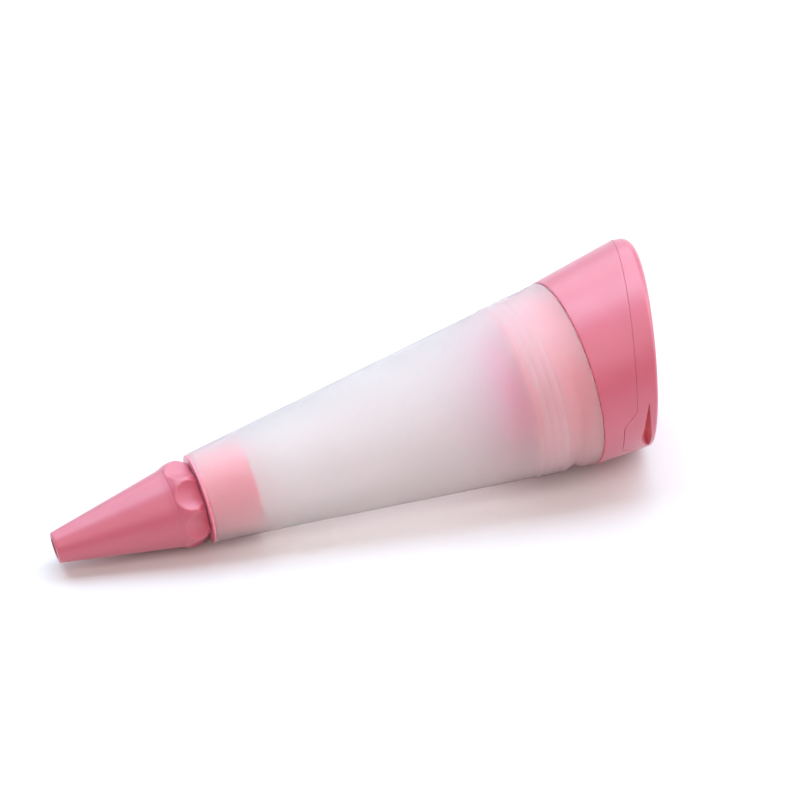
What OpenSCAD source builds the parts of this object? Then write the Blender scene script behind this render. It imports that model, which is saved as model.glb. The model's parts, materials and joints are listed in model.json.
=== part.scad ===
// Silicone piping bag with a screw-on nozzle and a pull-off rear lid.
// It lies on its side on the surface z = 0, nozzle towards -X.
// Every piece is built upright about the bag's axis, with z = 0 at the nozzle's mouth and
// z growing towards the lid. on_its_side() then lays the whole assembly down, with the
// upright +X turned to the side that rests on the surface.

/* [Nozzle] */
// Outer radius at the mouth
mouth_outer_r = 3.5; // [3.2:0.1:4.5]
// Radius of the hole that the icing leaves by
mouth_r = 2.5; // [1.5:0.1:2.8]
// Length of the straight hole behind the mouth
mouth_len = 4; // [2:0.5:6]
// Outer radius of the cone where it meets the grip band
cone_base_r = 9; // [8.8:0.1:9.2]
// Distance from the mouth to the grip band
cone_len = 27; // [26.4:0.1:27.4]
// Outer radius of the ridges on the grip band
grip_r = 10.1; // [9.8:0.1:10.3]
// Distance from the mouth to the rear of the grip band
grip_end = 33.7; // [33.2:0.1:33.8]
// Number of finger scoops round the grip band
scoops = 8; // [7:1:10]
// Radius of each scoop's round floor
scoop_r = 7; // [6:0.5:9]

/* [Coupler] */
// Radius of the screw spigot
spigot_r = 6.8; // [6.4:0.1:6.9]
// Radius of the passage through the coupler
passage_r = 4.9; // [3.5:0.1:5.2]
// Radius of the flange in front of the bag
flange_r = 10.3; // [10:0.05:10.3]
// Thickness of the flange
flange_t = 0.5; // [0.4:0.1:0.6]
// Length of the sleeve inside the bag
sleeve_len = 11.5; // [10:0.5:18]

/* [Bag] */
// Distance from the mouth to the bag's front edge
bag_start = 34.5; // [34.5:0.1:36]
// Distance from the mouth to the bag's rear edge
bag_end = 123.6; // [122:0.1:124]
// Outer radius at the front edge
bag_front_r = 10.4; // [10.2:0.1:10.6]
// Outer radius at the rear edge
bag_rear_r = 22; // [21.6:0.1:22.2]
// Wall of the silicone
bag_wall = 1.5; // [1.2:0.1:1.8]

/* [Rear collar] */
// Distance from the mouth to the front of the neck inside the bag
neck_start = 109.5; // [107:0.5:111]
// Wall of the collar's mouldings
collar_wall = 1.8; // [1.5:0.1:2]
// Radius of the filling throat
throat_r = 12.6; // [11:0.1:13]
// Distance from the mouth to the rear end of the throat
throat_end = 128; // [124:0.5:129]
// Radius of the collar's outside where the slanted end cuts the bag's axis
collar_end_r = 23.9; // [23.5:0.1:24.3]
// How far the collar has leant towards its long side by then
collar_lean = 1.9; // [1:0.1:2.5]

/* [Lid] */
// Slant of the rear end
slant = 16.5; // [12:0.5:18]
// Direction of the collar's short side, turned about the bag's axis from the resting side
short_side = -73; // [-80:1:-60]
// Direction of the pull tab, turned the same way
tab_side = -62; // [-80:1:-60]
// Direction of the middle of the nail recess, turned the same way
recess_side = -73; // [-75:1:-45]
// Where the lid's outer face crosses the axis
lid_end = 143.4; // [142:0.1:143.5]
// Thickness of the lid's band, square to the slanted end
band_t = 5.1; // [4.5:0.1:5.5]
// Rounding of the lid's outer edge
lid_round = 3.2; // [2:0.1:3.5]
// Diameter of the circle that the pull tab's outline follows
tab_round = 30; // [20:1:32]
// How far the pull tab reaches forward of the band
tab_reach = 3; // [2:0.5:4]
// Depth of the nail recess beside the tab
recess_depth = 2.6; // [2:0.1:3]
// Width of the nail recess at its mouth
recess_w = 2.1; // [1.6:0.1:2.4]

/* [Stopper] */
// Distance from the mouth to the front of the stopper
stopper_start = 104; // [102:0.5:107]
// Wall of the stopper
stopper_wall = 1.4; // [1.2:0.1:2]

/* [Fits] */
// Radial clearance of the screw and of the stopper
running = 0.05; // [0.02:0.01:0.1]
// Gap between pieces that pass each other without a fit
gap = 0.25; // [0.2:0.05:0.3]

/* [Hidden] */
$fn = 96;
eps = 0.01;
big = 80;
tall = 200;

// The bag's straight side, which everything near it follows
bag_slope = (bag_rear_r - bag_front_r) / (bag_end - bag_start);
lie_angle = atan(bag_slope);
function bag_outer(z) = bag_front_r + bag_slope * (z - bag_start);
function bag_inner(z) = bag_outer(z) - bag_wall;

// Where the pieces of the nozzle end lie along the axis
flange_start = bag_start - flange_t;
sleeve_end = bag_start + sleeve_len;
washer_t = 0.9;
washer_start = 26.2;
nose_start = washer_start + washer_t + 0.1;
socket_r = spigot_r + running;
inner_cone_end = washer_start - 0.8;
seat_lip = 0.7;
mouth_edge = 0.3;
nose_edge = 0.5;
flange_edge = 0.1;
washer_ease = 0.1;

// The grip's ridges rise from the cone, and its scoops deepen towards the rear
ridge_start = cone_len + 2.6;
ridge_end = grip_end - 1.6;
ridge_fall = 0.6;
scoop_floor = 7.85;
scoop_tilt = 15;
first_scoop = 41.3;
scoop_ahead = 10;
scoop_behind = 4;

// The coupler's funnel inside its sleeve
funnel_start = 40;
sleeve_wall = 1.1;
skin = 0.03;

// The collar's outside is a round cone that leans towards the long side from the bag's end
shoulder = bag_end + 0.2;
end_drop = lid_end - shoulder;
lean_angle = atan(collar_lean / end_drop);
collar_slope = (collar_end_r - bag_rear_r) / end_drop;
neck_wall = 1.6;
web_t = 1.8;
throat_wall = 1.3;
neck_edge = 0.4;
shoulder_inset = 0.3;

// The lid's band, seen square to the slanted end and centred on the leaning collar. Its edge
// is rounded by three flats, whose corners lie at half and at a small part of the rounding.
round_mid = 0.5;
round_side = 0.13;
band_axial = band_t / cos(slant);
parting = lid_end - band_axial;
parting_gap = 0.15;
rim_shift = -1.6;
rim_r = 24.3;
rim_room = 12;
plate_t = 1.8;
plate_start = lid_end - plate_t / cos(slant);
skirt_r = 20.4;
skirt_wall = 1.4;
skirt_shift = -1;
skirt_reach = 3.5;
skirt_hold = 1;
tab_inset = 5;
tab_cut = 12;

// The nail recess is a V groove whose floor follows a larger circle than the rim
recess_half_angle = 22;
floor_r = rim_r - recess_depth;
recess_offset = (pow(rim_r, 2) - pow(floor_r, 2))
              / (2 * (floor_r - rim_r * cos(recess_half_angle)));
recess_floor = floor_r + recess_offset;
lip_t = 1.2;

// The sealing rings on the neck and on the stopper
seal_count = 3;
seal_first = 111.2;
seal_pitch = 1.9;
seal_w = 0.9;
seal_h = 0.7;
stopper_r = throat_r - running;
ring_at = 125;
ring_w = 1.6;
ring_h = 0.8;

// The lying part touches the surface along the bag's side, with the origin under its middle
rest_raise = (bag_front_r - bag_slope * bag_start) * cos(lie_angle);
front_x = -mouth_outer_r * sin(lie_angle);
rear_x = 148.467;
middle_x = (front_x + rear_x) / 2;
middle_y = 2.265;

module on_its_side() {
    translate([-middle_x, -middle_y, rest_raise])
        rotate([0, 90 - lie_angle, 0]) children();
}

// A body of revolution from [radius, height] corners
module turned(outline) {
    rotate_extrude() polygon(outline);
}

// A frame on the bag's axis whose +Z is square to the slanted end, +X towards the short side
module end_frame(z) {
    translate([0, 0, z]) rotate([0, 0, short_side]) rotate([0, slant, 0]) children();
}

// Everything in front of the slanted plane that crosses the axis at z
module ahead_of(z) {
    end_frame(z) translate([-big / 2, -big / 2, -big]) cube([big, big, big]);
}

// Everything behind that plane
module behind(z) {
    end_frame(z) translate([-big / 2, -big / 2, 0]) cube([big, big, big]);
}

// The leaning cone of the collar and lid, inset from its outer skin
module leaning_cone(inset) {
    below = 6;
    length = 34;
    r_low = bag_rear_r - collar_slope * below - inset;
    translate([0, 0, shoulder]) rotate([0, 0, short_side]) rotate([0, -lean_angle, 0])
        translate([0, 0, -below])
            cylinder(r1 = r_low, r2 = r_low + collar_slope * (length + below), h = length + below);
}

// The outline of the pull tab, drawn radially through the collar's rear edge
module tab_outline(extra) {
    half = tab_round / 2 + extra;
    centre = parting - tan(slant) * bag_rear_r * cos(tab_side - short_side) - tab_reach + tab_round / 2;
    rotate([0, 0, tab_side]) translate([bag_rear_r - tab_inset, 0, centre]) {
        rotate([0, 90, 0]) cylinder(r = half, h = tab_cut);
        translate([0, -half, 0]) cube([tab_cut, 2 * half, tab_cut]);
    }
}

module nozzle() {
    color("hotpink") difference() {
        turned([[0, 0], [mouth_outer_r - mouth_edge, 0], [mouth_outer_r, mouth_edge],
                [cone_base_r, cone_len], [grip_r, ridge_start],
                [grip_r, ridge_end], [grip_r - ridge_fall, grip_end], [0, grip_end]]);
        translate([0, 0, -eps]) cylinder(r = mouth_r, h = mouth_len + 2 * eps);
        translate([0, 0, mouth_len])
            cylinder(r1 = mouth_r, r2 = socket_r - seat_lip, h = inner_cone_end - mouth_len);
        translate([0, 0, inner_cone_end - eps])
            cylinder(r = socket_r - seat_lip, h = washer_start - inner_cone_end + 2 * eps);
        translate([0, 0, washer_start]) cylinder(r = socket_r, h = grip_end);
        for (i = [0 : scoops - 1]) rotate([0, 0, first_scoop + i * 360 / scoops])
            finger_scoop();
    }
}

// One scoop, deepest at the grip's rear edge
module finger_scoop() {
    translate([scoop_floor + scoop_r, 0, grip_end]) rotate([0, -scoop_tilt, 0])
        translate([0, 0, -scoop_ahead]) cylinder(r = scoop_r, h = scoop_ahead + scoop_behind);
}

module nozzle_washer() {
    color("white") translate([0, 0, washer_start]) difference() {
        cylinder(r = spigot_r - washer_ease, h = washer_t);
        translate([0, 0, -eps]) cylinder(r = passage_r + washer_ease, h = washer_t + 2 * eps);
    }
}

module coupler() {
    color("deeppink") difference() {
        turned([[0, nose_start], [spigot_r - nose_edge, nose_start], [spigot_r, nose_start + nose_edge],
                [spigot_r, flange_start], [flange_r - flange_edge, flange_start],
                [flange_r, flange_start + flange_edge], [flange_r, bag_start - skin],
                [bag_inner(bag_start) - skin, bag_start - skin],
                [bag_inner(sleeve_end) - skin, sleeve_end], [0, sleeve_end]]);
        translate([0, 0, nose_start - eps])
            cylinder(r = passage_r, h = funnel_start - nose_start + 2 * eps);
        translate([0, 0, funnel_start])
            cylinder(r1 = passage_r, r2 = bag_inner(sleeve_end) - sleeve_wall,
                     h = sleeve_end - funnel_start + eps);
    }
}

module bag() {
    edge = 0.4;
    color("white", 0.5)
        turned([[bag_inner(bag_start), bag_start], [bag_front_r - edge, bag_start],
                [bag_outer(bag_start + edge), bag_start + edge],
                [bag_outer(bag_end - edge), bag_end - edge], [bag_rear_r - edge, bag_end],
                [bag_inner(bag_end), bag_end]]);
}

module rear_collar() {
    neck_outer_front = bag_inner(neck_start) - skin;
    neck_outer_rear = bag_inner(bag_end) - skin;
    color("hotpink") difference() {
        union() {
            // The shell from the bag's rear edge to the parting line
            intersection() {
                difference() {
                    leaning_cone(0);
                    leaning_cone(collar_wall);
                }
                translate([0, 0, shoulder]) cylinder(r = big, h = big);
                ahead_of(parting);
            }
            // The shoulder, the neck inside the bag, its web and the filling throat
            turned([[throat_r, neck_start], [neck_outer_front - neck_edge, neck_start],
                    [neck_outer_front, neck_start + neck_edge],
                    [neck_outer_rear, bag_end], [neck_outer_rear, shoulder],
                    [bag_rear_r - shoulder_inset, shoulder],
                    [bag_rear_r - shoulder_inset, shoulder + collar_wall],
                    [neck_outer_rear - neck_wall, shoulder + collar_wall],
                    [neck_outer_front - neck_wall, neck_start + web_t],
                    [throat_r + throat_wall, neck_start + web_t],
                    [throat_r + throat_wall, throat_end], [throat_r, throat_end]]);
        }
        for (i = [0 : seal_count - 1]) seal_groove(seal_first + i * seal_pitch);
        tab_outline(gap);
    }
}

// A groove round the neck, and the ring that fills it up to the silicone
module seal_groove(z) {
    turned([[bag_inner(z) - seal_h, z], [bag_inner(z) + 1, z],
            [bag_inner(z) + 1, z + seal_w], [bag_inner(z) - seal_h, z + seal_w]]);
}

module collar_seals() {
    color("mistyrose") for (i = [0 : seal_count - 1]) {
        z = seal_first + i * seal_pitch;
        turned([[bag_inner(z) - seal_h, z], [bag_inner(z) - skin, z],
                [bag_inner(z + seal_w) - skin, z + seal_w], [bag_inner(z) - seal_h, z + seal_w]]);
    }
}

// The lid's outer form with its rounded edge, square to the slanted end
module rounded_end() {
    end_frame(lid_end) translate([rim_shift, 0, 0])
        turned([[0, 0], [rim_r - lid_round, 0],
                [rim_r - lid_round * round_mid, -lid_round * round_side],
                [rim_r - lid_round * round_side, -lid_round * round_mid], [rim_r, -lid_round],
                [rim_r, -rim_room], [0, -rim_room]]);
}

module nail_recess() {
    reach = rim_room;
    half = recess_w / 2 / recess_depth * reach;
    middle = lip_t + recess_w / 2;
    end_frame(lid_end) translate([rim_shift, 0, -middle])
        rotate([0, 0, recess_side - short_side]) translate([-recess_offset, 0, 0])
            turned([[recess_floor, 0], [recess_floor + reach, half],
                    [recess_floor + reach, -half]]);
}

module lid() {
    color("lightpink") difference() {
        union() {
            // Band and end plate
            difference() {
                intersection() {
                    leaning_cone(0);
                    rounded_end();
                    behind(parting + parting_gap);
                }
                // The hollow inside the band
                intersection() {
                    at_skirt() cylinder(r = skirt_r - skirt_wall, h = tall);
                    ahead_of(plate_start);
                }
            }
            // The skirt that plugs into the collar's mouth
            intersection() {
                at_skirt() difference() {
                    cylinder(r = skirt_r, h = tall);
                    translate([0, 0, -1]) cylinder(r = skirt_r - skirt_wall, h = tall + 2);
                }
                behind(parting - skirt_reach);
                ahead_of(parting + skirt_hold);
            }
            // The pull tab, flush with the collar
            difference() {
                intersection() {
                    leaning_cone(0);
                    tab_outline(0);
                    ahead_of(parting + skirt_hold);
                }
                leaning_cone(collar_wall);
            }
        }
        nail_recess();
    }
}

module at_skirt() {
    rotate([0, 0, short_side]) translate([skirt_shift, 0, 0]) children();
}

module stopper() {
    corner = 1.6;
    color("plum") difference() {
        intersection() {
            turned([[0, stopper_start], [stopper_r - corner, stopper_start],
                    [stopper_r, stopper_start + corner],
                    [stopper_r, ring_at], [stopper_r - ring_h, ring_at],
                    [stopper_r - ring_h, ring_at + ring_w], [stopper_r, ring_at + ring_w],
                    [stopper_r, tall], [0, tall]]);
            ahead_of(plate_start);
        }
        translate([0, 0, stopper_start + stopper_wall])
            cylinder(r = stopper_r - ring_h - stopper_wall, h = tall);
    }
}

module stopper_ring() {
    color("mistyrose") translate([0, 0, ring_at]) difference() {
        cylinder(r = stopper_r, h = ring_w);
        translate([0, 0, -eps]) cylinder(r = stopper_r - ring_h, h = ring_w + 2 * eps);
    }
}

on_its_side() nozzle();
on_its_side() nozzle_washer();
on_its_side() coupler();
on_its_side() bag();
on_its_side() rear_collar();
on_its_side() collar_seals();
on_its_side() lid();
on_its_side() stopper();
on_its_side() stopper_ring();
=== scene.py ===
"""Looks for the silicone piping bag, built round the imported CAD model.

Every piece is made upright about the bag's axis, in millimetres: z runs from the nozzle's mouth to the
lid, and +x is the side that rests on the floor. lay() then puts it where the CAD has it, in metres.
"""
import json
import math

import bmesh
import bpy
import numpy as np
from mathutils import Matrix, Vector


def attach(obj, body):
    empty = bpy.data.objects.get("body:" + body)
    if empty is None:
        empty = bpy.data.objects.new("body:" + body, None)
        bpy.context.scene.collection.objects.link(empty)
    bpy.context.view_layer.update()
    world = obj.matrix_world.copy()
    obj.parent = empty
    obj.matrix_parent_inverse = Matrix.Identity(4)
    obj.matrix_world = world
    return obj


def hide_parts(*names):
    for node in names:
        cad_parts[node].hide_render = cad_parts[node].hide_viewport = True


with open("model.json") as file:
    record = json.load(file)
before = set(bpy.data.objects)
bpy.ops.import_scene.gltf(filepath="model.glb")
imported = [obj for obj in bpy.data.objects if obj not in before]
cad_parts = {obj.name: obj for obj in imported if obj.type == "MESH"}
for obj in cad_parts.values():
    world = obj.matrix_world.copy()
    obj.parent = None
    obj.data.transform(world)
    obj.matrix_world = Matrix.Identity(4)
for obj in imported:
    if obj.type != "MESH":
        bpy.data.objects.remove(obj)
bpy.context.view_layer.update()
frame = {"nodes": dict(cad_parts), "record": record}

# ---------------------------------------------------------------- the bag's axis, from the mounts
MM = 0.001
mounts = {m["name"]: m for m in frame["record"]["mounts"]}
mouth = Vector(mounts["nozzle_mouth"]["pos_m"])
axis = -Vector(mounts["nozzle_mouth"]["axis"]).normalized()
resting = Vector((axis.z, 0, -axis.x))
across = axis.cross(resting)
upright = np.array([resting, across, axis])


def lay(points):
    """Upright millimetres to metres in the CAD frame."""
    return np.asarray(points) @ upright * MM + np.array(mouth)


def stand(points):
    """Metres in the CAD frame to upright millimetres."""
    return (np.asarray(points) - np.array(mouth)) @ upright.T / MM


def node_points(node):
    """The corners of a CAD node, upright and in millimetres."""
    return stand([v.co for v in frame["nodes"][node].data.vertices])


def span(node):
    """Where a CAD node starts and ends along the bag's axis."""
    z = node_points(node)[:, 2]
    return z.min(), z.max()


def radius_near(node, z, reach=0.6, pick=np.max):
    """The largest (or smallest) radius of a CAD node's corners near a place along the axis."""
    p = node_points(node)
    near = p[np.abs(p[:, 2] - z) < reach]
    return pick(np.hypot(near[:, 0], near[:, 1]))


# The slanted end: its normal's tilt, the collar's short side, and where it crosses the axis
face_normal = upright @ np.array(mounts["lid_face"]["axis"])
face_point = stand([mounts["lid_face"]["pos_m"]])[0]
slant = math.acos(min(1, face_normal[2] / np.linalg.norm(face_normal)))
short_side = math.atan2(face_normal[1], face_normal[0])
sideways = face_point[0] * face_normal[0] + face_point[1] * face_normal[1]
lid_end = face_point[2] + sideways / face_normal[2]

# ---------------------------------------------------------------- sizes in millimetres
# Nozzle: a cone, then a grip band whose ridge the finger scoops cut into
mouth_outer_r = radius_near("nozzle", 0.3, 0.2)
mouth_r = mounts["nozzle_mouth"]["dims"]["r_mm"]
mouth_len = mounts["nozzle_mouth"]["dims"]["length_mm"]
cone_len, cone_base_r = 27.0, 9.0
ridge_start, ridge_end, ridge_fall = 29.5, 31.6, 1.5
ridge_r = radius_near("nozzle", 31, 2)
grip_end = span("nozzle")[1]
scoops, scoop_r, scoop_floor = 8, 7.0, 7.85
scoop_tilt, first_scoop = math.radians(15), math.radians(41.3)

# Washer, and the coupler with its nose, threaded spigot, flange and sleeve
washer_start, washer_end = span("nozzle_washer")
washer_outer = radius_near("nozzle_washer", washer_start)
washer_inner = radius_near("nozzle_washer", washer_start, pick=np.min)
nose_start, sleeve_end = span("coupler")
spigot_r = radius_near("coupler", nose_start + 0.5, 0.2)
passage_r = radius_near("coupler", nose_start, 0.2, np.min)
flange_t, funnel_start, sleeve_wall = 0.5, 40.0, 1.1
flange_r = radius_near("coupler", span("bag")[0] - flange_t / 2, 0.3)
socket_r = spigot_r + 0.05
thread_pitch, thread_depth = 2.0, 0.42

# Bag: a straight cone of silicone, whose front and rear edges are slightly rounded off
bag_start, bag_end = span("bag")
bag_wall, edge_cut, skin = 1.5, 0.4, 0.03
bag_front_r = radius_near("bag", bag_start, 0.1) + edge_cut
bag_rear_r = radius_near("bag", bag_end, 0.1) + edge_cut
bag_slope = (bag_rear_r - bag_front_r) / (bag_end - bag_start)

# Collar: a neck inside the bag with the filling throat, and a leaning cone behind it
neck_start = span("rear_collar")[0]
shoulder = bag_end + 0.2
collar_wall, neck_wall, web_t, throat_wall = 1.8, 1.6, 1.8, 1.3
throat_r = radius_near("rear_collar", neck_start, 0.2, np.min)
throat_end = 128.0
collar_end_r, collar_lean = 23.9, 1.9
end_drop = lid_end - shoulder
lean = math.atan2(collar_lean, end_drop)
collar_slope = (collar_end_r - bag_rear_r) / end_drop

# Seals on the neck
seal_first, seal_last = span("collar_seals")
seal_count, seal_w, seal_h = 3, 0.9, 0.7
seal_pitch = (seal_last - seal_w - seal_first) / (seal_count - 1)

# Lid: its band, pull tab, end plate and skirt, and the nail recess in the band
band_t = 5.1
parting = lid_end - band_t / math.cos(slant)
tab_half, tab_flat, tab_reach, tab_turn = 9.2, 4.2, 3.0, math.radians(1.8)
edge_gap, tab_gap = 0.02, 0.08
plate_t, skirt_r, skirt_wall, skirt_shift, skirt_reach = 1.8, 20.4, 1.4, -1.0, 3.5
recess_first, recess_widest, recess_last = math.radians(-23), math.radians(9), math.radians(22)
recess_depth, recess_w, lip_t, lip_growth = 2.4, 2.9, 1.1, 1.1

# Stopper: a hollow cup with a ring near its front
stopper_start = span("stopper")[0]
stopper_r = radius_near("stopper", stopper_start + 4, 3)
stopper_wall, stopper_corner = 1.4, 1.6
ring_start, ring_end = span("stopper_ring")
ring_h = 0.8

# Points round a ring
AROUND = 256
NOZZLE_AROUND = scoops * 48
LID_AROUND = 480
# Edges sharper than this keep their crease
SHARP = math.radians(38)


def bag_outer(z):
    """Radius of the bag's outside, before the marks."""
    return bag_front_r + bag_slope * (z - bag_start)


def bag_inner(z):
    """Radius of the bag's inside."""
    return bag_outer(z) - bag_wall


# ---------------------------------------------------------------- mesh tools
def turns(count):
    """Angles round the bag's axis."""
    return np.arange(count) * 2 * math.pi / count


def quarter(first, steps):
    """Turns along a quarter round, from a share of it up to all of it."""
    return np.linspace(first, 1, steps) * math.pi / 2


def smooth(t):
    """0 to 1 with a soft start and end."""
    t = np.clip(t, 0, 1)
    return t * t * (3 - 2 * t)


def soft_min(a, b, blend):
    """The smaller of two heights, with their crossing rounded off."""
    h = np.clip(0.5 + 0.5 * (b - a) / blend, 0, 1)
    return b + (a - b) * h - blend * h * (1 - h)


def bump(z, middle, half):
    """A soft bump of height 1."""
    return np.exp(-((z - middle) / half) ** 2)


def ripple(theta, z, seed, waves=5):
    """A gentle, seeded unevenness between -1 and 1 that closes round the bag."""
    rng = np.random.default_rng(seed)
    total = np.zeros(np.broadcast(theta, z).shape)
    for _ in range(waves):
        turn, along = rng.integers(1, 5), rng.uniform(0.02, 0.12)
        total = total + np.sin(turn * theta + along * z + rng.uniform(0, 2 * math.pi))
    return total / waves


def corner_arc(a, c, b, steps):
    """Points of the round corner from a to b whose sides meet at c."""
    into, out = (c - a) / np.linalg.norm(c - a), (b - c) / np.linalg.norm(b - c)
    weight = math.sqrt(max(0.05, (1 + float(into @ out)) / 2))
    t = np.linspace(0, 1, steps + 1)[:, None]
    top = (1 - t) ** 2 * a + 2 * weight * t * (1 - t) * c + t ** 2 * b
    return top / ((1 - t) ** 2 + 2 * weight * t * (1 - t) + t ** 2)


def rounded(corners, closed=True, steps=5, step=1.0, support=0.06):
    """An outline through (radius, z, rounding) corners: arcs, with the straight stretches divided."""
    at = [np.array(c[:2], float) for c in corners]
    size = [c[2] for c in corners]
    count = len(at)
    arcs = []
    for i in range(count):
        if not closed and i in (0, count - 1) or size[i] == 0:
            arcs.append([at[i]])
            continue
        before, after = at[i - 1] - at[i], at[(i + 1) % count] - at[i]
        room = 0.48 * min(np.linalg.norm(before), np.linalg.norm(after))
        cut = min(size[i], room)
        a = at[i] + before / np.linalg.norm(before) * cut
        b = at[i] + after / np.linalg.norm(after) * cut
        arcs.append(list(corner_arc(a, at[i], b, steps)))
    outline = []
    for i in range(count):
        outline += arcs[i]
        if not closed and i == count - 1:
            break
        a, b = arcs[i][-1], arcs[(i + 1) % count][0]
        length = np.linalg.norm(b - a)
        if length > 4 * support:
            inner = np.linspace(support, length - support, max(2, int(length / step) + 1))
            outline += [a + (b - a) * d / length for d in inner]
    return np.array(outline)


def rings_of(outline, count=AROUND):
    """Round rings from [radius, z] points."""
    theta = turns(count)
    return [circle(theta, r, z) for r, z in outline]


def circle(theta, radius, z):
    """One ring about the axis; the radius and z may change round it."""
    radius = np.broadcast_to(radius, theta.shape)
    z = np.broadcast_to(z, theta.shape)
    return np.stack([radius * np.cos(theta), radius * np.sin(theta), z], 1)


def skinned(name, rings, closed=True, painted_shade=None):
    """A mesh through rings of equal count: a closed loop of rings, or a stack capped at both ends.

    The last argument gives each ring point a share, from 0 to 1, of its material's painted shade colour,
    kept in the recess attribute.
    """
    rings = np.array(rings)
    rows, columns = rings.shape[:2]
    points = list(lay(rings.reshape(-1, 3)))
    index = np.arange(rows * columns).reshape(rows, columns)
    following = np.roll(index, -1, axis=1)
    faces = []
    for i in range(rows if closed else rows - 1):
        j = (i + 1) % rows
        faces += np.stack([index[i], following[i], following[j], index[j]], 1).tolist()
    if not closed:
        for row in (0, rows - 1):
            hub = len(points)
            points.append(lay(rings[row].mean(0)))
            faces += [(hub, int(a), int(b)) for a, b in zip(index[row], following[row])]
    mesh = bpy.data.meshes.new(name)
    mesh.from_pydata([tuple(p) for p in points], [], faces)
    form = bmesh.new()
    form.from_mesh(mesh)
    bmesh.ops.recalc_face_normals(form, faces=form.faces)
    form.to_mesh(mesh)
    form.free()
    mesh.polygons.foreach_set("use_smooth", [True] * len(mesh.polygons))
    mesh.set_sharp_from_angle(angle=SHARP)
    if painted_shade is not None:
        layer = mesh.attributes.new("recess", "FLOAT", "POINT")
        values = np.zeros(len(points))
        values[: rows * columns] = np.asarray(painted_shade).reshape(-1)
        layer.data.foreach_set("value", values.astype(np.float32))
    piece = bpy.data.objects.new(name, mesh)
    bpy.context.scene.collection.objects.link(piece)
    return piece


bodies = frame["record"]["behaviour"]["bodies"]


def settle(piece, node, material):
    """Gives a piece its material and the body of the CAD node that it stands for, and hides that node."""
    piece.data.materials.append(material)
    body = next(name for name, nodes in bodies.items() if node in nodes)
    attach(piece, body)
    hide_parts(node)
    return piece


# ---------------------------------------------------------------- material tools
# Where the Mix node keeps its two colours and its result when it mixes colours
MIX_A, MIX_B, MIX_RESULT = 6, 7, 2


def new_material(name):
    """A material with its node tree and its shader."""
    material = bpy.data.materials.new(name)
    material.use_nodes = True
    tree = material.node_tree
    shader = tree.nodes["Principled BSDF"]
    return material, tree, shader


def add_node(tree, kind, **values):
    """A node with its properties and input values set."""
    node = tree.nodes.new(kind)
    for key, value in values.items():
        if hasattr(node, key):
            setattr(node, key, value)
        else:
            node.inputs[key.replace("_", " ")].default_value = value
    return node


def noise(tree, size_mm, detail=3.0, roughness=0.55, stretch=None):
    """Noise whose features are about size_mm across, in the piece's own coordinates."""
    place = tree.nodes.new("ShaderNodeTexCoord")
    texture = add_node(tree, "ShaderNodeTexNoise", Detail=detail, Roughness=roughness,
                       Scale=1 / (size_mm * MM))
    source = place.outputs["Object"]
    if stretch is not None:
        mapping = tree.nodes.new("ShaderNodeMapping")
        mapping.inputs["Scale"].default_value = stretch
        mapping.inputs["Rotation"].default_value = (0, math.asin(axis.z), 0)
        tree.links.new(source, mapping.inputs["Vector"])
        source = mapping.outputs["Vector"]
    tree.links.new(source, texture.inputs["Vector"])
    return texture.outputs["Fac"]


def ramp(tree, source, stops):
    """A colour ramp through (place, colour) stops."""
    node = tree.nodes.new("ShaderNodeValToRGB")
    elements = node.color_ramp.elements
    while len(elements) < len(stops):
        elements.new(0.5)
    for element, (place, colour) in zip(elements, stops):
        element.position = place
        element.color = (*colour, 1)
    tree.links.new(source, node.inputs["Fac"])
    return node.outputs["Color"]


def spread(tree, source, low, high):
    """Maps the middle of a noise's range to low to high."""
    node = add_node(tree, "ShaderNodeMapRange", To_Min=low, To_Max=high, From_Min=0.3, From_Max=0.7)
    tree.links.new(source, node.inputs["Value"])
    return node.outputs["Result"]


def add_bump(tree, shader, layers):
    """Stacks bump layers of (height source, strength, distance in mm)."""
    normal = None
    for source, strength, distance in layers:
        node = add_node(tree, "ShaderNodeBump", Strength=strength, Distance=distance * MM)
        tree.links.new(source, node.inputs["Height"])
        if normal is not None:
            tree.links.new(normal, node.inputs["Normal"])
        normal = node.outputs["Normal"]
    tree.links.new(normal, shader.inputs["Normal"])


def plastic(name, dark, light, painted_shade):
    """Moulded plastic: faint flow clouds, a fine satin skin, hair scratches, and a darker, redder colour
    painted in as shade where the recess attribute says.
    """
    material, tree, shader = new_material(name)
    cloud = noise(tree, 14, 4)
    colour = ramp(tree, cloud, [(0.3, dark), (0.7, light)])
    # The recess attribute marks painted shade: there the base colour is mixed toward the darker, redder
    # shade colour.
    recess = add_node(tree, "ShaderNodeAttribute", attribute_name="recess")
    mix = add_node(tree, "ShaderNodeMix", data_type="RGBA")
    tree.links.new(recess.outputs["Fac"], mix.inputs["Factor"])
    tree.links.new(colour, mix.inputs[MIX_A])
    mix.inputs[MIX_B].default_value = (*painted_shade, 1)
    tree.links.new(mix.outputs[MIX_RESULT], shader.inputs["Base Color"])
    tree.links.new(spread(tree, noise(tree, 5, 5), 0.40, 0.52), shader.inputs["Roughness"])
    shader.inputs["IOR"].default_value = 1.55
    shader.inputs["Coat Weight"].default_value = 1.0
    shader.inputs["Coat Roughness"].default_value = 0.42
    shader.inputs["Sheen Weight"].default_value = 0.14
    shader.inputs["Sheen Roughness"].default_value = 0.5
    shader.inputs["Sheen Tint"].default_value = (0.85, 0.88, 1.0, 1)
    shader.inputs["Subsurface Weight"].default_value = 0.2
    shader.inputs["Subsurface Radius"].default_value = (1.0, 0.35, 0.4)
    shader.inputs["Subsurface Scale"].default_value = 1.2 * MM
    add_bump(tree, shader, [
        (noise(tree, 9, 2), 0.25, 0.12),
        (noise(tree, 0.35, 3), 0.10, 0.02),
        (noise(tree, 1.2, 6, 0.7, (0.08, 1, 1)), 0.06, 0.02),
    ])
    return material


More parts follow.
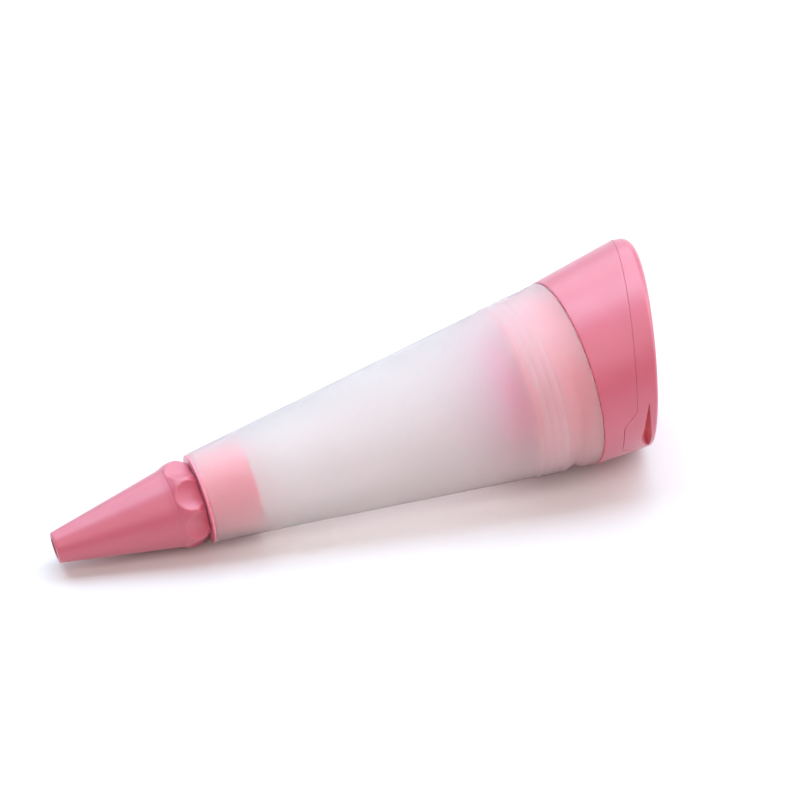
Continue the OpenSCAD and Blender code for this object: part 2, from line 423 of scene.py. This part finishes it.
def frosted_silicone():
    """Milky silicone that lets the pieces behind it glow through, softer the further they are."""
    material, tree, shader = new_material("frosted_silicone")
    cloud = noise(tree, 22, 4)
    colour = ramp(tree, cloud, [(0.3, (0.90, 0.845, 0.83)), (0.7, (0.93, 0.88, 0.86))])
    tree.links.new(colour, shader.inputs["Base Color"])
    tree.links.new(spread(tree, noise(tree, 6, 5), 0.68, 0.78), shader.inputs["Roughness"])
    shader.inputs["IOR"].default_value = 1.41
    tree.links.new(spread(tree, noise(tree, 16, 3), 0.86, 0.93), shader.inputs["Transmission Weight"])
    shader.inputs["Subsurface Weight"].default_value = 0.5
    shader.inputs["Subsurface Radius"].default_value = (1.0, 0.8, 0.8)
    shader.inputs["Subsurface Scale"].default_value = 2.5 * MM
    add_bump(tree, shader, [
        (noise(tree, 12, 2), 0.3, 0.15),
        (noise(tree, 0.3, 3), 0.12, 0.02),
        (noise(tree, 1.6, 6, 0.7, (0.06, 1, 1)), 0.05, 0.03),
    ])
    return material


def seal_rubber():
    """Soft milky pink seal."""
    material, tree, shader = new_material("seal_rubber")
    colour = ramp(tree, noise(tree, 3, 4), [(0.3, (0.78, 0.40, 0.47)), (0.7, (0.84, 0.48, 0.54))])
    tree.links.new(colour, shader.inputs["Base Color"])
    tree.links.new(spread(tree, noise(tree, 2, 4), 0.42, 0.55), shader.inputs["Roughness"])
    shader.inputs["Subsurface Weight"].default_value = 0.4
    shader.inputs["Subsurface Radius"].default_value = (1.0, 0.7, 0.7)
    shader.inputs["Subsurface Scale"].default_value = 0.8 * MM
    add_bump(tree, shader, [(noise(tree, 0.4, 3), 0.15, 0.02)])
    return material


# The last colour of each plastic is painted shade: a darker, redder pink for hollows and for the neck
# under the bag's rim.
pink = plastic("pink_plastic", dark=(0.50, 0.064, 0.110), light=(0.54, 0.074, 0.124),
               painted_shade=(0.72, 0.045, 0.06))
# A brighter copy of the pink for the pieces inside the bag: painted glow standing in for light through
# the silicone.
glow_pink = plastic("glow_pink_plastic", dark=(0.80, 0.155, 0.235), light=(0.85, 0.175, 0.265),
                      painted_shade=(0.70, 0.045, 0.10))
stopper_pink = plastic("stopper_plastic", dark=(0.80, 0.20, 0.42), light=(0.86, 0.24, 0.48),
                       painted_shade=(0.5, 0.05, 0.1))
silicone = frosted_silicone()
seal = seal_rubber()


# ---------------------------------------------------------------- nozzle
def thread(theta, z, start, end):
    """Height from 0 to 1 of a right-handed thread, run out at both ends."""
    crest_half, flank, run_out = 0.30, 0.14, 0.9
    phase = np.mod((z - thread_pitch * theta / (2 * math.pi)) / thread_pitch, 1)
    tooth = smooth((crest_half - np.abs(phase - 0.5)) / flank)
    return tooth * smooth((z - start) / run_out) * smooth((end - z) / run_out)


def grip_surface(theta, z):
    """Outer radius of the nozzle: its cone and ridge, cut by the finger scoops."""
    outline = rounded([(mouth_outer_r, 0, 0), (cone_base_r, cone_len, 1.0), (ridge_r, ridge_start, 1.3),
                       (ridge_r, ridge_end, 1.6), (ridge_r - ridge_fall, grip_end, 0)], closed=False)
    crest = np.interp(z, outline[:, 1], outline[:, 0])
    pitch = 2 * math.pi / scoops
    turn = np.mod(theta - first_scoop + pitch / 2, pitch) - pitch / 2
    centre = scoop_floor + scoop_r + (grip_end - z) * math.tan(scoop_tilt)
    inside = np.clip(scoop_r ** 2 - (centre * np.sin(turn)) ** 2, 0, None)
    scoop = centre * np.cos(turn) - np.sqrt(inside)
    edge_blend, line_place, line_depth, line_half = 0.16, cone_len + 0.45, 0.05, 0.1
    return soft_min(crest, scoop, edge_blend) - line_depth * bump(z, line_place, line_half)


def make_nozzle():
    """The cone and its grip in one moulding, threaded inside."""
    theta = turns(NOZZLE_AROUND)
    lip, back = 0.35, 0.25
    cone_first, cone_step, grip_step, thread_step = 1.2, 1.0, 0.11, 0.1
    # The mouth's bore and its round lip, as far as the start of the cone
    front = rounded([(mouth_r, mouth_len, 0), (mouth_r, 0, 0.2), (mouth_outer_r, 0, lip),
                     (mouth_outer_r + 1, 4.9, 0)], closed=False)
    rings = rings_of(front[front[:, 1] <= lip + 0.01], NOZZLE_AROUND)
    cone = np.arange(cone_first, cone_len - 1, cone_step)
    grip = np.arange(cone_len - 1, grip_end - back, grip_step)
    for z in np.concatenate([cone, grip]):
        rings.append(circle(theta, grip_surface(theta, z), z))
    # The rear rim's round edge and its flat, down to the socket
    rim = grip_surface(theta, grip_end - back)
    for turn in quarter(0.2, 5):
        inset, short = back * (1 - math.cos(turn)), back * (1 - math.sin(turn))
        rings.append(circle(theta, rim - inset, grip_end - short))
    for part in (0.3, 0.9, 1.0):
        rings.append(circle(theta, (rim - back) * (1 - part) + (socket_r + 0.3) * part, grip_end))
    rings.append(circle(theta, socket_r + 0.1, grip_end - 0.1))
    start, end = washer_end + 0.2, grip_end - 0.3
    for z in np.arange(end, start, -thread_step):
        rings.append(circle(theta, socket_r - (thread_depth - 0.1) * thread(theta, z, start, end), z))
    # The washer's seat, and the way on to the mouth
    seat_r, inner_end = socket_r - 0.7, washer_start - 0.8
    inside = rounded([(socket_r, washer_end, 0), (socket_r, washer_start, 0.1),
                      (seat_r, washer_start, 0.15), (seat_r, inner_end, 0.4),
                      (mouth_r, mouth_len, 0.6), (mouth_r, 1.0, 0)], closed=False)
    return skinned("nozzle_moulding", rings + rings_of(inside, NOZZLE_AROUND))


def make_washer():
    """A flat soft ring between the nozzle and the coupler's nose."""
    edge = 0.2
    outline = rounded([(washer_inner, washer_start, edge), (washer_outer, washer_start, edge),
                       (washer_outer, washer_end, edge), (washer_inner, washer_end, edge)], step=0.5)
    return skinned("washer_disc", rings_of(outline))


# ---------------------------------------------------------------- coupler and bag
def make_coupler():
    """A threaded spigot, a flange and a sleeve inside the bag, with one passage through them."""
    theta = turns(AROUND)
    flange_start = bag_start - flange_t
    root, crest_gap, thread_step = spigot_r - thread_depth, 0.02, 0.1
    start, end = nose_start + 0.2, flange_start - 0.1
    nose = rounded([(passage_r, nose_start + 2, 0), (passage_r, nose_start, 0.3),
                    (root - 0.1, nose_start, 0.3), (root, nose_start + 0.3, 0)], closed=False, step=0.6)
    rings = rings_of(nose)
    for z in np.arange(start + 0.15, end, thread_step):
        rings.append(circle(theta, root + (thread_depth - crest_gap) * thread(theta, z, start, end), z))
    # The flange, the sleeve with its lead-in, and back through the funnel and the passage
    lead, lead_in = 2.6, 0.5
    body = rounded([(root, end + 0.02, 0), (root, flange_start, 0.05), (flange_r, flange_start, 0.1),
                    (flange_r, bag_start - skin, 0.06),
                    (bag_inner(bag_start) - skin, bag_start - skin, 0.1),
                    (bag_inner(sleeve_end - lead) - skin, sleeve_end - lead, 1.0),
                    (bag_inner(sleeve_end) - lead_in, sleeve_end, 0.25),
                    (bag_inner(sleeve_end) - sleeve_wall, sleeve_end, 0.2),
                    (passage_r, funnel_start, 1.0), (passage_r, nose_start + 2.5, 0)],
                   closed=False, step=0.8)
    return skinned("coupler_moulding", rings + rings_of(body))


def bag_skin(theta, z):
    """Outer radius of the silicone, with the marks that the pieces inside press into it."""
    uneven, neck_step, neck_ridge, seal_mark, fade = 0.07, 0.10, 0.13, 0.06, 12
    marks = uneven * ripple(theta, z, 3) * smooth((z - bag_start) / fade) * smooth((bag_end - z) / fade)
    marks = marks + neck_step * smooth((z - neck_start + 1.4) / 1.6)
    marks = marks + neck_ridge * bump(z, neck_start + 0.1, 0.35)
    for i in range(seal_count):
        marks = marks + seal_mark * bump(z, seal_first + seal_w / 2 + i * seal_pitch, 0.4)
    # The line that rests on the floor stays straight
    radius = bag_outer(z) + marks * smooth((1 - np.cos(theta)) / 0.12)
    # A waist ahead of the collar, deepest underneath
    waist_start, waist_rise, waist_back, waist_fall = bag_end - 8.2, 3.2, bag_end - 4.8, 1.8
    underside = 0.5 + 0.5 * np.cos(theta + math.radians(40))
    waist = smooth((z - waist_start) / waist_rise) * (1 - 0.8 * smooth((z - waist_back) / waist_fall))
    radius = radius - (0.05 + 0.95 * underside ** 3) * waist
    # A short, slightly slanted nick behind the flange
    nick_depth, nick_place, nick_turn = 0.09, bag_start + 2.9, math.radians(236)
    nick_scale, nick_slant = 11, 0.5
    middle = nick_turn * nick_scale + (z - nick_place) * nick_slant
    return radius - nick_depth * bump(z, nick_place, 0.7) * bump(theta * nick_scale, middle, 0.28)


def make_bag():
    """The silicone skin, closed into a wall by its straight inside."""
    theta = turns(AROUND)
    lip, inset = 0.25, 0.35
    fine_end, coarse_end, last_ring = bag_start + 6, neck_start - 2, bag_end - 0.45
    rings = []
    for turn in quarter(0, 6):
        short, along = lip * (1 - math.sin(turn)), lip * (1 - math.cos(turn))
        rings.append(circle(theta, bag_outer(bag_start) - short, bag_start + along))
    # Rings stand closest where the silicone is marked
    heights = np.concatenate([np.arange(bag_start + 0.4, fine_end, 0.25),
                              np.arange(fine_end, coarse_end, 1.0),
                              np.arange(coarse_end, last_ring, 0.14)])
    rings += [circle(theta, bag_skin(theta, z), z) for z in heights]
    rear = bag_skin(theta, heights[-1])
    last = bag_end - heights[-1]
    for turn in quarter(0.2, 5):
        radius = rear - inset * (1 - math.cos(turn))
        rings.append(circle(theta, radius, heights[-1] + last * math.sin(turn)))
    for z in np.linspace(bag_end, bag_start, 60):
        rings.append(circle(theta, bag_inner(z), z))
    return skinned("silicone_bag", rings)


# ---------------------------------------------------------------- the slanted collar and lid
# These work in the collar's own turn, where angle 0 is the short side
def from_short_side(points):
    """Turns points from the short side's frame into the upright frame."""
    c, s = math.cos(short_side), math.sin(short_side)
    x, y, z = np.moveaxis(np.asarray(points), -1, 0)
    return np.stack([x * c - y * s, x * s + y * c, z], -1)


def cone_point(theta, height, inset):
    """A point of the leaning cone, inset from its outside, at a height along its own axis."""
    radius = bag_rear_r + collar_slope * height - inset
    x = -height * math.sin(lean) + radius * np.cos(theta) * math.cos(lean)
    z = shoulder + height * math.cos(lean) + radius * np.cos(theta) * math.sin(lean)
    return np.stack(np.broadcast_arrays(x, radius * np.sin(theta), z), -1)


def cone_height(theta, crossing, tilt, inset=0.0):
    """The height at which the cone meets the plane that is tilted and crosses the bag's axis there."""
    side = np.cos(theta) * (math.sin(lean) + math.tan(tilt) * math.cos(lean))
    rise = math.cos(lean) - math.tan(tilt) * math.sin(lean) + collar_slope * side
    return (crossing - shoulder - (bag_rear_r - inset) * side) / rise


def tube_point(theta, radius, crossing, tilt, shift=0.0):
    """A point of a tube about the bag's axis, cut by the tilted plane."""
    x = shift + radius * np.cos(theta)
    return np.stack(np.broadcast_arrays(x, radius * np.sin(theta), crossing - x * math.tan(tilt)), -1)


def tab_outline(theta, grown=0.0):
    """How far the pull tab reaches ahead of the parting line, round the collar."""
    along = (np.mod(theta - tab_turn + math.pi, 2 * math.pi) - math.pi) * collar_end_r
    half = tab_half + grown
    return (tab_reach + grown) * smooth((half - np.abs(along)) / (half - tab_flat))


def make_collar():
    """The neck with its seal grooves, the leaning cone with the tab's notch, and the filling throat."""
    theta = turns(LID_AROUND)
    rings = []
    neck_front, neck_rear = bag_inner(neck_start) - skin, bag_inner(bag_end) - skin
    corner = 0.08

    def add_round(outline):
        for radius, z in outline:
            rings.append(tube_point(theta, radius, z, 0))

    neck = [(throat_r, neck_start + 3, 0), (throat_r, neck_start, 0.5), (neck_front, neck_start, 0.5)]
    for i in range(seal_count):
        z = seal_first + i * seal_pitch
        floor_r = bag_inner(z) - seal_h
        neck += [(bag_inner(z) - skin, z, corner), (floor_r, z, corner),
                 (floor_r, z + seal_w, corner), (bag_inner(z + seal_w) - skin, z + seal_w, corner)]
    neck += [(neck_rear, shoulder, 0.15), (bag_rear_r - 1.2, shoulder, 0)]
    add_round(rounded(neck, closed=False, steps=2, step=0.8))
    # The shoulder's round edge, the outside, and the rear edge with the tab's notch
    edge, rear_edge, inner_edge = 0.22, 0.12, 0.15
    low = cone_height(theta, shoulder, 0)
    for turn in quarter(0, 7):
        rings.append(cone_point(theta, low + edge * (1 - math.cos(turn)), edge * (1 - math.sin(turn))))
    high = cone_height(theta, parting - edge_gap - tab_outline(theta, tab_gap), slant)
    for part in np.linspace(0, 1, 26)[1:]:
        rings.append(cone_point(theta, low + edge + (high - rear_edge - low - edge) * part, 0))
    for turn in quarter(0.25, 4):
        inset, short = rear_edge * (1 - math.cos(turn)), rear_edge * (1 - math.sin(turn))
        rings.append(cone_point(theta, high - short, inset))
    rings.append(cone_point(theta, high, collar_wall - inner_edge))
    rings.append(cone_point(theta, high - inner_edge, collar_wall))
    # The inside, down to the shoulder's floor, and back round the throat
    floor_z = shoulder + collar_wall
    floor = cone_height(theta, floor_z, 0, collar_wall)
    for part in np.linspace(0, 1, 12)[1:]:
        rings.append(cone_point(theta, (high - inner_edge) * (1 - part) + floor * part, collar_wall))
    throat_outer, web_z = throat_r + throat_wall, neck_start + web_t
    inside = [(neck_rear - 0.6, floor_z, 0), (neck_rear - neck_wall, floor_z, 0.4),
              (neck_front - neck_wall, web_z, 0.5), (throat_outer, web_z, 0.5),
              (throat_outer, throat_end, 0.4), (throat_r, throat_end, 0.4), (throat_r, neck_start + 4, 0)]
    add_round(rounded(inside, closed=False, steps=3, step=1.5))
    # Under the bag's rear edge the neck is painted a deeper pink: painted shade under the bag's rim
    shade_strength, shade_len, shade_fade = 0.7, 4.8, 1.6
    level = np.array(rings)[:, :, 2]
    painted_shade = shade_strength * smooth((level - (bag_end - shade_len)) / shade_fade) * (level < shoulder)
    return skinned("collar_moulding", from_short_side(rings), painted_shade=painted_shade)


def make_seals():
    """The rings of each seal on the neck, which share one shape."""
    seals = []
    for i in range(seal_count):
        z = seal_first + i * seal_pitch
        inner = bag_inner(z) - seal_h
        outline = rounded([(inner, z, 0.05), (bag_inner(z) - skin, z, 0.3),
                           (bag_inner(z + seal_w) - skin, z + seal_w, 0.3),
                           (inner, z + seal_w, 0.05)], step=0.3)
        seals.append(rings_of(outline))
    return seals


def recess_cut(theta, ahead):
    """Depth of the nail recess at a distance ahead of the end face."""
    turn = np.mod(theta + math.pi, 2 * math.pi) - math.pi
    opening = np.clip((turn - recess_first) / (recess_widest - recess_first), 0, 1)
    closing = np.sqrt(np.clip((recess_last - turn) / (recess_last - recess_widest), 0, 1))
    reach = opening * closing
    narrowest, wall_w = 0.05, 0.15
    width = np.maximum(recess_w * reach, narrowest)
    lip = lip_t + lip_growth * (1 - opening)
    slope = np.clip(1 - (ahead - lip) / width, 0, 1) * smooth((ahead - lip) / wall_w)
    return recess_depth * np.sqrt(reach) * slope


def make_lid():
    """The end plate, its round edge, the band with the recess and the tab, and the skirt inside."""
    theta = turns(LID_AROUND)
    long_side = 0.5 - 0.5 * np.cos(theta)
    round_along = 0.7 + 3.9 * long_side ** 1.5
    round_across = 0.9 + 4.8 * long_side ** 1.5
    crown = 0.15 + 0.5 * long_side
    rings, shade_share = [], []

    # Each ring's second value is its share of painted shade, the darker, redder pink.
    def add(points, cut=0.0):
        rings.append(points)
        shade_share.append(np.broadcast_to(cut, theta.shape))

    corner = cone_point(theta, cone_height(theta, lid_end, slant, crown), crown)
    centre = corner.mean(0)
    inward = centre - corner
    inward = inward / np.linalg.norm(inward, axis=1)[:, None]
    normal = np.array([math.sin(slant), 0, math.cos(slant)])
    face_edge = corner + inward * round_across[:, None]
    # The end face: a shallow panel with a soft step near its rim, and a small gate mark
    gate, sunk = -0.10, -0.34
    panel = rounded([(0, gate, 0), (0.02, gate, 0), (0.035, -0.32, 0), (0.05, sunk, 0),
                     (0.82, sunk, 0.02), (0.86, 0, 0.02), (1, 0, 0)],
                    closed=False, steps=4, step=0.06, support=0.002)
    for part, sink in panel[1:-1]:
        add(centre + (face_edge - centre) * part + normal * sink)
    # The round edge, wider on the long side
    along = cone_point(theta, cone_height(theta, lid_end, slant, crown) - 5, crown * 0.6) - corner
    along = along / np.linalg.norm(along, axis=1)[:, None]
    side_edge = corner + along * round_along[:, None]
    weight = np.sqrt((1 - (inward * along).sum(1)) / 2)[:, None] * 0.98
    for t in np.linspace(0, 1, 13):
        pull = 2 * weight * t * (1 - t)
        share = (1 - t) ** 2 + pull + t ** 2
        add(((1 - t) ** 2 * face_edge + pull * corner + t ** 2 * side_edge) / share)
    # The band, with the nail recess, down to the parting line and the pull tab
    front = cone_height(theta, parting - tab_outline(theta), slant)
    back = cone_height(theta, lid_end, slant, crown) - round_along
    chamfer, band_rows = 0.11, 64
    for part in np.linspace(0, 1, band_rows)[1:]:
        height = back + (front + chamfer - back) * part
        ahead = (cone_height(theta, lid_end, slant) - height) * math.cos(slant)
        cut = recess_cut(theta, ahead)
        swell = crown * (1 - 0.4 * round_along / 5) * (1 - part) ** 1.5
        # Inside the nail recess the pink is painted darker and redder: painted shade and red glow in the
        # hollow.
        add(cone_point(theta, height, cut + swell), np.clip(cut / recess_depth * 1.6, 0, 1))
    for turn in quarter(0.25, 4):
        inset, short = chamfer * (1 - math.cos(turn)), chamfer * (1 - math.sin(turn))
        add(cone_point(theta, front + short, inset))
    # Under the tab, then along the inside of the collar
    ledge_inset = collar_wall - 0.2
    add(cone_point(theta, front, ledge_inset - 0.15))
    add(cone_point(theta, front + 0.1, ledge_inset))
    add(cone_point(theta, cone_height(theta, parting + 0.06, slant, ledge_inset), ledge_inset))
    # The skirt, the hollow behind it and the inside of the end plate
    hollow_r, plate_back = skirt_r - skirt_wall, -(band_t - plate_t) / math.cos(slant)
    skirt = rounded([(skirt_r, 0.0, 0.15), (skirt_r, skirt_reach, 0.4), (hollow_r, skirt_reach, 0.4),
                     (hollow_r, plate_back, 0.4), (2.0, plate_back, 0)], closed=False, step=1.2)
    for radius, ahead in skirt:
        add(tube_point(theta, radius, parting - ahead, slant, skirt_shift))
    return skinned("lid_moulding", from_short_side(rings), closed=False, painted_shade=shade_share)


def make_stopper():
    """A hollow cup from the lid's end plate forward, with a groove for its ring."""
    theta = turns(AROUND)
    groove_r, hub, corner = stopper_r - ring_h, 0.4, 0.1
    inner = groove_r - stopper_wall
    root = lid_end - plate_t / math.cos(slant)
    low, inner_low, inner_corner = ring_end + 3, stopper_start + stopper_wall + 1, 1
    outer = rounded([(hub, stopper_start, 0), (stopper_r, stopper_start, stopper_corner),
                     (stopper_r, ring_start, corner), (groove_r, ring_start, corner),
                     (groove_r, ring_end, corner), (stopper_r, ring_end, corner), (stopper_r, low, 0)],
                    closed=False, steps=6)
    rings = [tube_point(theta, r, z, 0) for r, z in outer]
    # Its root follows the slanted end plate
    straight, slanted = tube_point(theta, stopper_r, low, 0), tube_point(theta, stopper_r, root, slant)
    for part in np.linspace(0, 1, 10)[1:]:
        rings.append(straight * (1 - part) + slanted * part)
    slanted, straight = tube_point(theta, inner, root, slant), tube_point(theta, inner, inner_low, 0)
    for part in np.linspace(0, 1, 24):
        rings.append(slanted * (1 - part) + straight * part)
    for turn in quarter(0.2, 5):
        radius = inner - inner_corner + math.cos(turn)
        rings.append(tube_point(theta, radius, inner_low - math.sin(turn), 0))
    rings.append(tube_point(theta, hub, stopper_start + stopper_wall, 0))
    return skinned("stopper_cup", from_short_side(rings), closed=False)


def make_stopper_ring():
    """A soft ring in the stopper's groove."""
    gap = 0.02
    inner, outer = stopper_r - ring_h + gap, stopper_r + gap
    start, end = ring_start + gap, ring_end - gap
    outline = rounded([(inner, start, 0.1), (outer, start, 0.5), (outer, end, 0.5), (inner, end, 0.1)],
                      step=0.4)
    return skinned("stopper_seal", rings_of(outline))


settle(make_nozzle(), "nozzle", pink)
settle(make_washer(), "nozzle_washer", seal)
settle(make_coupler(), "coupler", glow_pink)
settle(make_bag(), "bag", silicone)
collar = settle(make_collar(), "rear_collar", pink)
# The neck inside the bag takes a brighter copy of the pink: painted glow standing in for light through
# the silicone
collar.data.materials.append(glow_pink)
for face in collar.data.polygons:
    if stand(face.center)[2] < bag_end:
        face.material_index = 1
for i, rings in enumerate(make_seals()):
    settle(skinned(f"neck_seal_{i + 1}", rings), "collar_seals", seal)
settle(make_lid(), "lid", pink)
settle(make_stopper(), "stopper", stopper_pink)
settle(make_stopper_ring(), "stopper_ring", seal)


# ---------------------------------------------------------------- floor, light and camera
def make_floor():
    """A plain pale sheet of card."""
    size = 3.0
    mesh = bpy.data.meshes.new("floor")
    corners = [(-size, -size, 0), (size, -size, 0), (size, size, 0), (-size, size, 0)]
    mesh.from_pydata(corners, [], [(0, 1, 2, 3)])
    floor = bpy.data.objects.new("floor", mesh)
    bpy.context.scene.collection.objects.link(floor)
    material, tree, shader = new_material("pale_card")
    colour = ramp(tree, noise(tree, 40, 3), [(0.3, (0.70, 0.64, 0.62)), (0.7, (0.72, 0.66, 0.64))])
    tree.links.new(colour, shader.inputs["Base Color"])
    shader.inputs["Roughness"].default_value = 0.8
    add_bump(tree, shader, [(noise(tree, 0.6, 3), 0.05, 0.05)])
    mesh.materials.append(material)


def softbox(name, azimuth, elevation, distance, size, radiance, colour):
    """A rectangular light of that radiance, at an azimuth and elevation seen from the object."""
    target = Vector((0, 0, 0.02))
    a, e = math.radians(azimuth), math.radians(elevation)
    toward = Vector((math.sin(a) * math.cos(e), -math.cos(a) * math.cos(e), math.sin(e)))
    light = bpy.data.lights.new(name, "AREA")
    light.shape = "RECTANGLE"
    light.size, light.size_y = size
    light.energy = radiance * math.pi * size[0] * size[1]
    light.color = colour
    lamp = bpy.data.objects.new(name, light)
    lamp.location = target + toward * distance
    lamp.rotation_mode = "QUATERNION"
    lamp.rotation_quaternion = (-toward).to_track_quat("-Z", "Y")
    bpy.context.scene.collection.objects.link(lamp)


def make_world():
    """A dim warm surround."""
    world = bpy.data.worlds.new("studio")
    world.use_nodes = True
    background = world.node_tree.nodes["Background"]
    background.inputs["Color"].default_value = (1.0, 0.93, 0.92, 1)
    background.inputs["Strength"].default_value = 0.3
    bpy.context.scene.world = world


def make_camera():
    """A long lens at the height and turn that the object is usually shown from."""
    azimuth, elevation = math.radians(-21.0), math.radians(36.0)
    back = Vector((math.sin(azimuth) * math.cos(elevation), -math.cos(azimuth) * math.cos(elevation),
                   math.sin(elevation)))
    right = Vector((math.cos(azimuth), math.sin(azimuth), 0))
    up = back.cross(right)
    middle = Vector(lay([[0, 0, lid_end / 2]])[0])
    distance, right_by, up_by = 0.6508, 0.0101, 0.01032
    camera = bpy.data.objects.new("camera", bpy.data.cameras.new("camera"))
    camera.data.lens, camera.data.sensor_width = 129.24, 36
    camera.data.clip_start, camera.data.clip_end = 0.01, 20
    camera.rotation_mode = "QUATERNION"
    camera.rotation_quaternion = (-back).to_track_quat("-Z", "Y")
    camera.location = middle + right * right_by + up * up_by + back * distance
    bpy.context.scene.collection.objects.link(camera)
    bpy.context.scene.camera = camera


make_floor()
make_world()
softbox("overhead", azimuth=172, elevation=74, distance=1.0, size=(1.6, 0.6), radiance=5.1,
        colour=(0.62, 0.83, 1.0))
softbox("behind", azimuth=172, elevation=34, distance=1.2, size=(1.5, 0.7), radiance=2.8,
        colour=(0.70, 0.87, 1.0))
softbox("front", azimuth=-10, elevation=50, distance=1.2, size=(1.5, 1.0), radiance=1.8,
        colour=(1.0, 0.92, 0.92))
softbox("right", azimuth=82, elevation=28, distance=1.0, size=(0.9, 0.9), radiance=2.6,
        colour=(0.85, 0.92, 1.0))
make_camera()
bpy.context.scene.view_settings.view_transform = "Standard"
